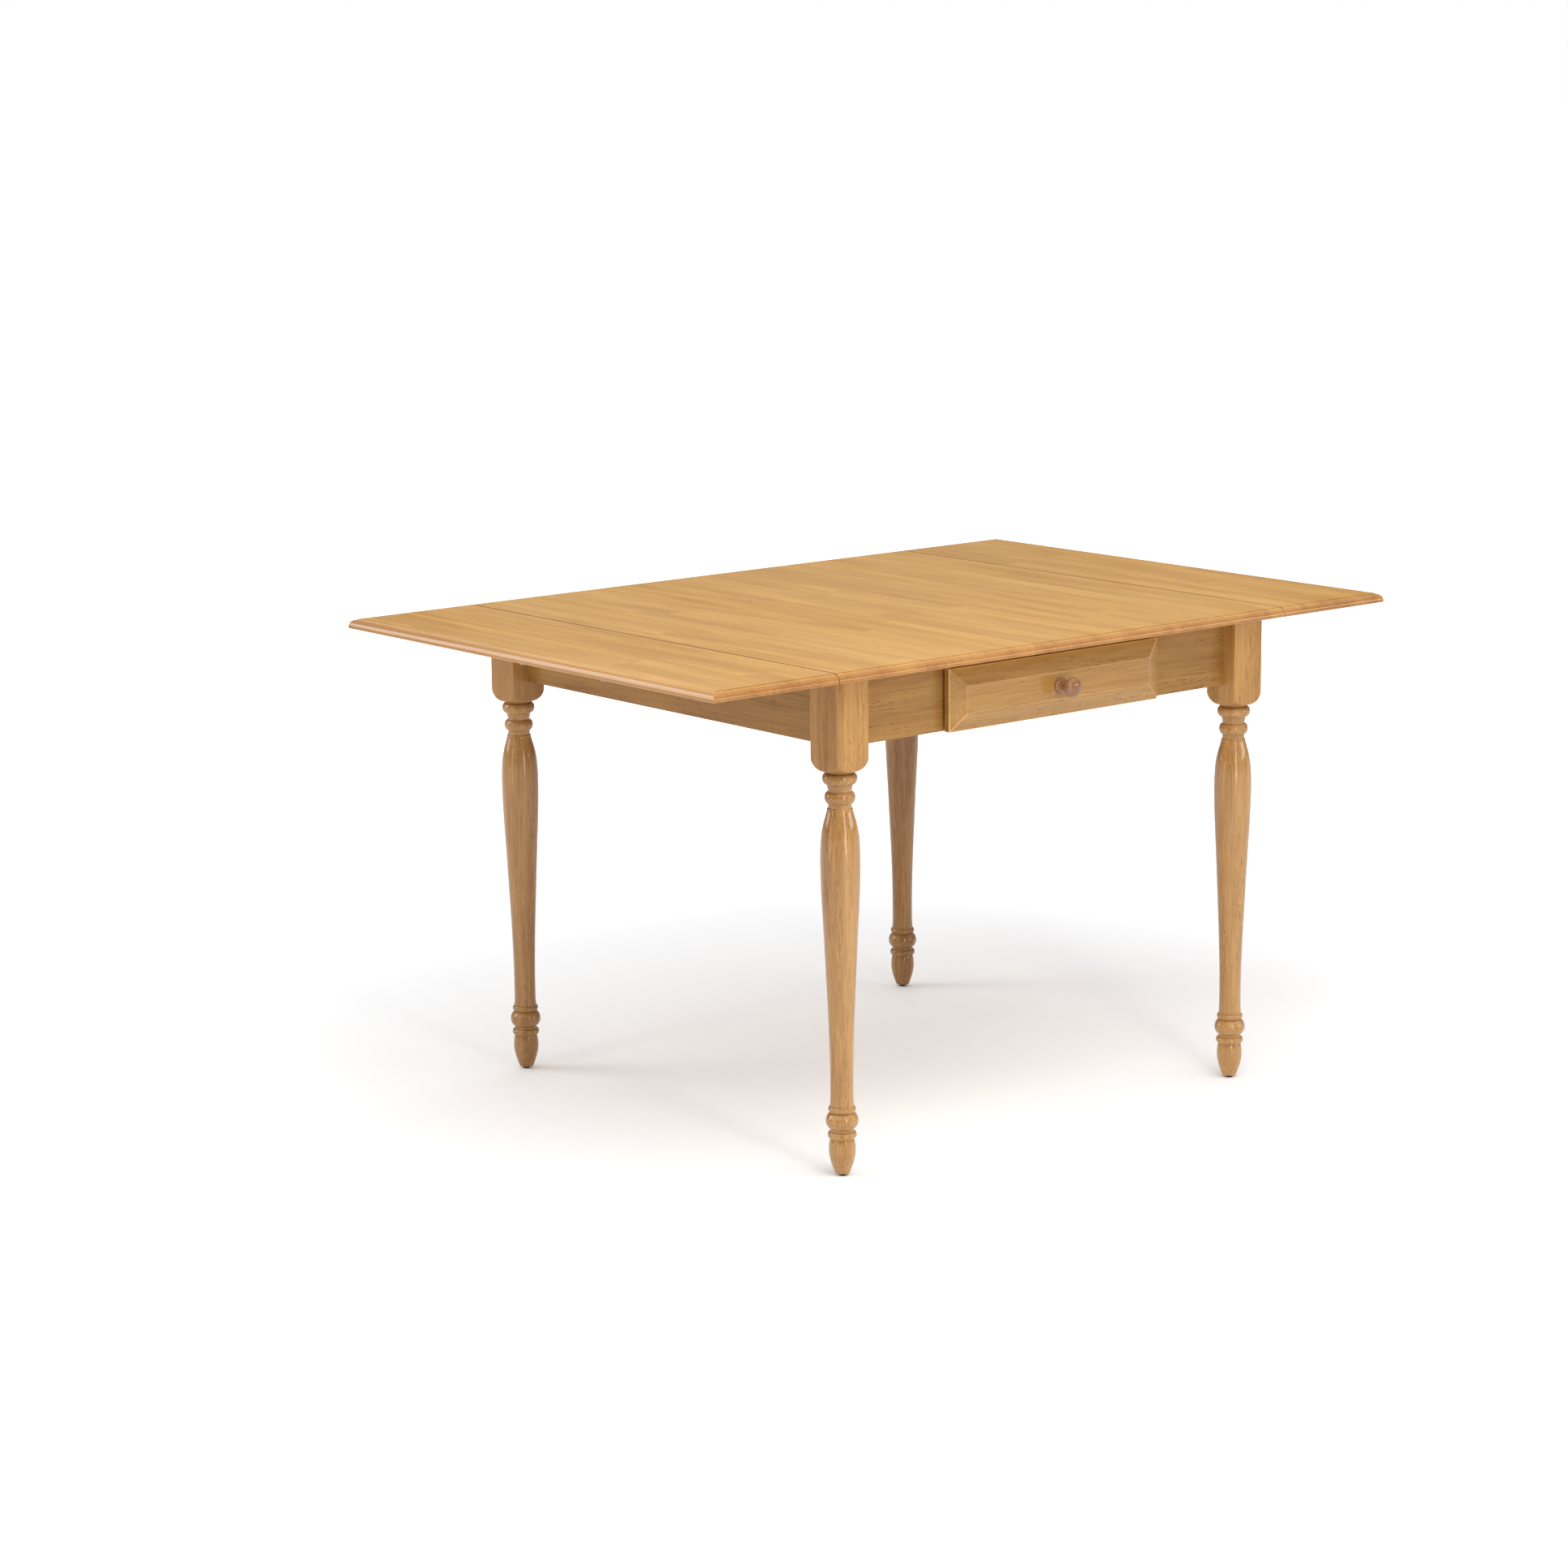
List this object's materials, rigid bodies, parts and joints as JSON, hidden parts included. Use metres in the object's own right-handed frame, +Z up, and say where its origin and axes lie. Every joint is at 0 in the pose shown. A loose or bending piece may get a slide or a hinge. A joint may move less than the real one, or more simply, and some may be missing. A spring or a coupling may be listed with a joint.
{
  "type": "drop leaf table",
  "caption": "Rectangular drop leaf table with turned legs, a front drawer with a raised panel and round knob, and a hinged leaf at each end.",
  "frame": {"origin": "centre of the footprint on the floor, under the middle of the top", "axes": "+X along the length with both leaves up, +Y towards the back, away from the drawer, +Z up"},
  "size_m": [1.3716, 0.9229, 0.762],
  "materials": {
    "top_wood": "oak stain under satin lacquer",
    "leg_wood": "oak stain under gloss lacquer",
    "apron_wood": "oak stain under satin lacquer",
    "plain_wood": "bare rubberwood and pine",
    "plywood": "bare plywood",
    "zinc_steel": "zinc plated",
    "glide_plastic": "moulded nylon"
  },
  "bodies": {
    "frame": {"top_centre": "top_wood", "front_left_leg": "leg_wood", "front_right_leg": "leg_wood", "back_left_leg": "leg_wood", "back_right_leg": "leg_wood", "leg_glides": "glide_plastic", "left_apron": "apron_wood", "right_apron": "apron_wood", "back_apron": "apron_wood", "front_apron_left": "apron_wood", "front_apron_right": "apron_wood", "upper_drawer_rail": "apron_wood", "lower_drawer_rail": "apron_wood", "rail_dowels": "plain_wood", "front_left_brace": "plain_wood", "front_right_brace": "plain_wood", "back_left_brace": "plain_wood", "back_right_brace": "plain_wood", "hanger_bolts": "zinc_steel", "bolt_washers": "zinc_steel", "bolt_nuts": "zinc_steel", "brace_screws": "zinc_steel", "left_cleat": "plain_wood", "right_cleat": "plain_wood", "back_cleat": "plain_wood", "top_screws": "zinc_steel", "left_runner": "plain_wood", "right_runner": "plain_wood", "runner_strips": "plain_wood", "drawer_stops": "plain_wood", "hinge_fixed_plates": "zinc_steel", "hinge_pins": "zinc_steel", "stay_brackets": "zinc_steel", "frame_fitting_screws": "zinc_steel"},
    "left_leaf": {"left_leaf_board": "top_wood", "left_hinge_plates": "zinc_steel", "left_stay_plates": "zinc_steel", "left_leaf_screws": "zinc_steel"},
    "right_leaf": {"right_leaf_board": "top_wood", "right_hinge_plates": "zinc_steel", "right_stay_plates": "zinc_steel", "right_leaf_screws": "zinc_steel"},
    "drawer": {"drawer_front": "apron_wood", "box_front": "plain_wood", "box_left_side": "plain_wood", "box_right_side": "plain_wood", "box_back": "plain_wood", "box_bottom": "plywood", "drawer_knob": "leg_wood", "knob_screw": "zinc_steel", "drawer_front_screws": "zinc_steel"},
    "left_front_link": {"left_front_link": "zinc_steel"},
    "left_front_arm": {"left_front_arm": "zinc_steel"},
    "left_back_link": {"left_back_link": "zinc_steel"},
    "left_back_arm": {"left_back_arm": "zinc_steel"},
    "right_front_link": {"right_front_link": "zinc_steel"},
    "right_front_arm": {"right_front_arm": "zinc_steel"},
    "right_back_link": {"right_back_link": "zinc_steel"},
    "right_back_arm": {"right_back_arm": "zinc_steel"}
  },
  "joints": [
    {"name": "left_leaf_hinge", "type": "hinge", "parent": "frame", "child": "left_leaf", "pos_m": [-0.4572, 0, 0.7435], "axis": [0, -1, 0], "range_deg": [0, 90]},
    {"name": "left_front_link_pivot", "type": "hinge", "parent": "frame", "child": "left_front_link", "pos_m": [-0.4332, -0.11, 0.6865], "axis": [0, 1, 0], "range_deg": [0, 25.29]},
    {"name": "left_front_arm_pivot", "type": "hinge", "parent": "left_leaf", "child": "left_front_arm", "pos_m": [-0.6072, -0.11, 0.7315], "axis": [0, -1, 0], "range_deg": [0, 9.9]},
    {"name": "left_back_link_pivot", "type": "hinge", "parent": "frame", "child": "left_back_link", "pos_m": [-0.4332, 0.11, 0.6865], "axis": [0, 1, 0], "range_deg": [0, 25.29]},
    {"name": "left_back_arm_pivot", "type": "hinge", "parent": "left_leaf", "child": "left_back_arm", "pos_m": [-0.6072, 0.11, 0.7315], "axis": [0, -1, 0], "range_deg": [0, 9.9]},
    {"name": "right_leaf_hinge", "type": "hinge", "parent": "frame", "child": "right_leaf", "pos_m": [0.4572, 0, 0.7435], "axis": [0, 1, 0], "range_deg": [0, 90]},
    {"name": "right_front_link_pivot", "type": "hinge", "parent": "frame", "child": "right_front_link", "pos_m": [0.4332, -0.11, 0.6865], "axis": [0, -1, 0], "range_deg": [0, 25.29]},
    {"name": "right_front_arm_pivot", "type": "hinge", "parent": "right_leaf", "child": "right_front_arm", "pos_m": [0.6072, -0.11, 0.7315], "axis": [0, 1, 0], "range_deg": [0, 9.9]},
    {"name": "right_back_link_pivot", "type": "hinge", "parent": "frame", "child": "right_back_link", "pos_m": [0.4332, 0.11, 0.6865], "axis": [0, -1, 0], "range_deg": [0, 25.29]},
    {"name": "right_back_arm_pivot", "type": "hinge", "parent": "right_leaf", "child": "right_back_arm", "pos_m": [0.6072, 0.11, 0.7315], "axis": [0, 1, 0], "range_deg": [0, 9.9]},
    {"name": "drawer_slide", "type": "slide", "parent": "frame", "child": "drawer", "axis": [0, -1, 0], "range_m": [0, 0.28]}
  ],
  "couplings": [
    {"joint": "left_front_link_pivot", "follows": "left_leaf_hinge", "ratio": 0.281},
    {"joint": "left_front_arm_pivot", "follows": "left_leaf_hinge", "ratio": 0.11},
    {"joint": "left_back_link_pivot", "follows": "left_leaf_hinge", "ratio": 0.281},
    {"joint": "left_back_arm_pivot", "follows": "left_leaf_hinge", "ratio": 0.11},
    {"joint": "right_front_link_pivot", "follows": "right_leaf_hinge", "ratio": 0.281},
    {"joint": "right_front_arm_pivot", "follows": "right_leaf_hinge", "ratio": 0.11},
    {"joint": "right_back_link_pivot", "follows": "right_leaf_hinge", "ratio": 0.281},
    {"joint": "right_back_arm_pivot", "follows": "right_leaf_hinge", "ratio": 0.11}
  ]
}
